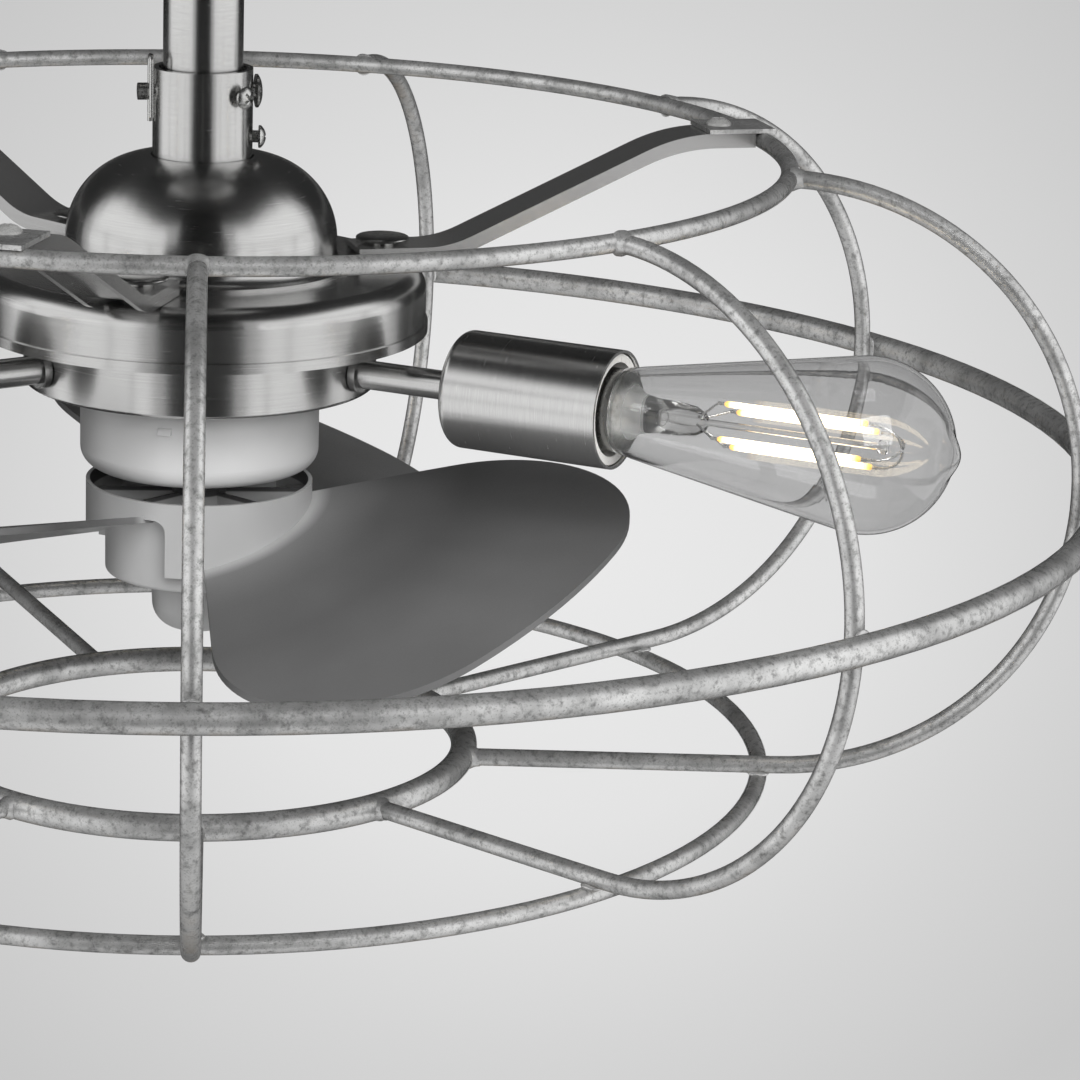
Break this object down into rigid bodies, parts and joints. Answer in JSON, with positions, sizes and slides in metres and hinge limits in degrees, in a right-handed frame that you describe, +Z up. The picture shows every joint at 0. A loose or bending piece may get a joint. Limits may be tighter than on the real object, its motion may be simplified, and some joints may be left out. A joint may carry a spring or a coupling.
{
  "type": "caged ceiling fan with light",
  "caption": "Ceiling fan on a short downrod with a small bladed impeller inside a round wire cage, and filament bulbs in metal sockets around the motor.",
  "frame": {"origin": "middle of the ceiling bracket's mounting face", "axes": "+Z up out of the ceiling face, so the fan hangs along -Z; +X along the bracket's two slots"},
  "size_m": [0.6095, 0.6096, 0.4392],
  "materials": {
    "nickel": "brushed nickel plate",
    "zinc_wire": "mottled zinc plate with dark patina",
    "steel": "plain zinc plated steel",
    "motor_silver": "satin silver",
    "blade_grey": "dark grey satin, lighter at the hub",
    "core_iron": "bare lamination steel",
    "copper": "lacquered copper",
    "ball_nylon": "moulded black",
    "porcelain": "glazed white",
    "socket_brass": "bright",
    "base_nickel": "bright rolled",
    "bulb_glass": "clear",
    "filament": "glowing amber strip"
  },
  "bodies": {
    "ceiling_mount": {"ceiling_bracket": "steel", "canopy": "nickel", "canopy_screws": "steel"},
    "impeller_set": {"impeller": "blade_grey", "motor_shaft": "steel", "rotor": "core_iron", "spinner_nut": "motor_silver"},
    "fan_body": {"bottom_ring": "zinc_wire", "bracket_1": "nickel", "bracket_2": "nickel", "bracket_3": "nickel", "bracket_bolts": "steel", "bracket_nuts": "steel", "bulb_bases": "base_nickel", "bulb_filaments": "filament", "bulb_glass_1": "bulb_glass", "bulb_glass_2": "bulb_glass", "bulb_glass_3": "bulb_glass", "bulb_mounts": "bulb_glass", "cage_clips": "nickel", "clevis_pin": "steel", "clip_screws": "steel", "coupling": "nickel", "coupling_screws": "steel", "dome_cover": "nickel", "downrod": "nickel", "hairpin_clip": "steel", "hanger_ball": "ball_nylon", "hanger_pin": "steel", "inner_ring": "zinc_wire", "light_ring": "nickel", "light_stem_1": "nickel", "light_stem_2": "nickel", "light_stem_3": "nickel", "lower_bearing": "steel", "middle_ring": "zinc_wire", "motor_can": "motor_silver", "motor_cap": "motor_silver", "mount_pan": "nickel", "rib_1": "zinc_wire", "rib_2": "zinc_wire", "rib_3": "zinc_wire", "rib_4": "zinc_wire", "rib_5": "zinc_wire", "rib_6": "zinc_wire", "rib_7": "zinc_wire", "rib_8": "zinc_wire", "rib_9": "zinc_wire", "socket_contacts": "socket_brass", "socket_cup_1": "nickel", "socket_cup_2": "nickel", "socket_cup_3": "nickel", "socket_insulators": "porcelain", "socket_shells": "socket_brass", "stator": "core_iron", "stem_nuts": "steel", "top_ring": "zinc_wire", "upper_bearing": "steel", "windings": "copper"}
  },
  "joints": [
    {"name": "hanger_tilt", "type": "hinge", "parent": "ceiling_mount", "child": "fan_body", "pos_m": [0, 0, -0.038], "axis": [1, 0, 0], "range_deg": [-10, 10]},
    {"name": "fan_spin", "type": "hinge", "parent": "fan_body", "child": "impeller_set", "pos_m": [0, 0, -0.355], "axis": [0, 0, 1], "continuous": true}
  ]
}
